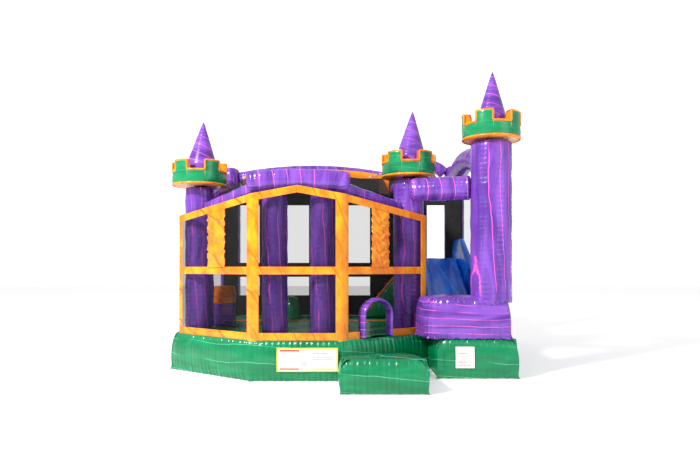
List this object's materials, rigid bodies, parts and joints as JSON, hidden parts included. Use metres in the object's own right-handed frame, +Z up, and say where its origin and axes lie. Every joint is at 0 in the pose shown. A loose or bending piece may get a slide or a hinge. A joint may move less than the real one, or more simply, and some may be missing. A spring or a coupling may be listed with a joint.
{
  "type": "inflatable bounce house",
  "caption": "Inflatable castle bounce house: netted front bay with crawl-in door and step, battlement towers with cones, side slide lane, and a blower behind.",
  "frame": {"origin": "middle of the footprint, on the ground", "axes": "+Z up, -Y towards the entrance step and netted bay, +Y towards the blower, +X towards the slide lane"},
  "size_m": [5.0384, 6.66, 4.235],
  "materials": {
    "green_vinyl": "gloss",
    "purple_vinyl": "gloss",
    "crown_vinyl": "gloss",
    "blue_vinyl": "gloss",
    "orange_vinyl": "gloss",
    "strap_vinyl": "gloss",
    "netting": "matte",
    "black_fabric": "matte",
    "label_vinyl": "satin",
    "rope": "matte",
    "steel": "satin",
    "motor_metal": "satin",
    "blower_plastic": "satin",
    "black_plastic": "satin"
  },
  "bodies": {
    "house": {"bounce_base": "green_vinyl", "slide_base": "green_vinyl", "entrance_step": "green_vinyl", "climb_ramp": "green_vinyl", "dome_obstacle": "green_vinyl", "tower_column_left": "purple_vinyl", "tower_column_middle": "purple_vinyl", "tower_column_right": "purple_vinyl", "cone_left": "purple_vinyl", "cone_middle": "purple_vinyl", "cone_right": "purple_vinyl", "front_beam": "purple_vinyl", "front_column_left": "purple_vinyl", "front_column_right": "purple_vinyl", "rear_column_left": "purple_vinyl", "rear_column_middle": "purple_vinyl", "rear_column_right": "purple_vinyl", "bay_beam_left": "purple_vinyl", "bay_beam_right": "purple_vinyl", "side_beam_left": "purple_vinyl", "side_beam_middle": "purple_vinyl", "side_beam_right": "purple_vinyl", "slide_front_beam": "purple_vinyl", "back_arch": "purple_vinyl", "slide_back_arch": "purple_vinyl", "entrance_arch": "purple_vinyl", "end_wall": "purple_vinyl", "crown_left": "crown_vinyl", "crown_middle": "crown_vinyl", "crown_right": "crown_vinyl", "slide_bed": "blue_vinyl", "slide_wall_left": "blue_vinyl", "slide_wall_right": "blue_vinyl", "slide_landing": "blue_vinyl", "pillar_obstacle": "orange_vinyl", "strap_frame_left": "strap_vinyl", "strap_frame_front": "strap_vinyl", "strap_frame_right": "strap_vinyl", "inflation_sleeve": "strap_vinyl", "net_bay_left": "netting", "net_bay_front": "netting", "net_bay_right": "netting", "net_side_left": "netting", "net_divider": "netting", "net_slide_side": "netting", "roof_net": "netting", "back_wall": "black_fabric", "zip_tape": "black_fabric", "anchor_patch_left": "black_fabric", "anchor_patch_right": "black_fabric", "warning_label": "label_vinyl", "rules_label": "label_vinyl", "tie_rope": "rope", "blower_motor": "motor_metal", "blower_housing": "blower_plastic"},
    "impeller": {"blower_impeller": "black_plastic"},
    "switch": {"blower_switch": "black_plastic"},
    "d_ring_left": {"d_ring_left": "steel"},
    "d_ring_right": {"d_ring_right": "steel"},
    "zip_slider": {"zip_slider": "steel"}
  },
  "joints": [
    {"name": "impeller_spin", "type": "hinge", "parent": "house", "child": "impeller", "pos_m": [-1.2, 3.115, 0.25], "axis": [1, 0, 0], "continuous": true},
    {"name": "switch_rock", "type": "hinge", "parent": "house", "child": "switch", "pos_m": [-1.393, 3.145, 0.25], "axis": [0, 0, 1], "range_deg": [0, 16]},
    {"name": "d_ring_left_swing", "type": "hinge", "parent": "house", "child": "d_ring_left", "pos_m": [-2.15, 2.255, 0.23], "axis": [1, 0, 0], "range_deg": [0, 165]},
    {"name": "d_ring_right_swing", "type": "hinge", "parent": "house", "child": "d_ring_right", "pos_m": [2.08, 2.255, 0.23], "axis": [1, 0, 0], "range_deg": [0, 165]},
    {"name": "zip_slide", "type": "slide", "parent": "house", "child": "zip_slider", "axis": [1, 0, 0], "range_m": [0, 0.56]}
  ]
}
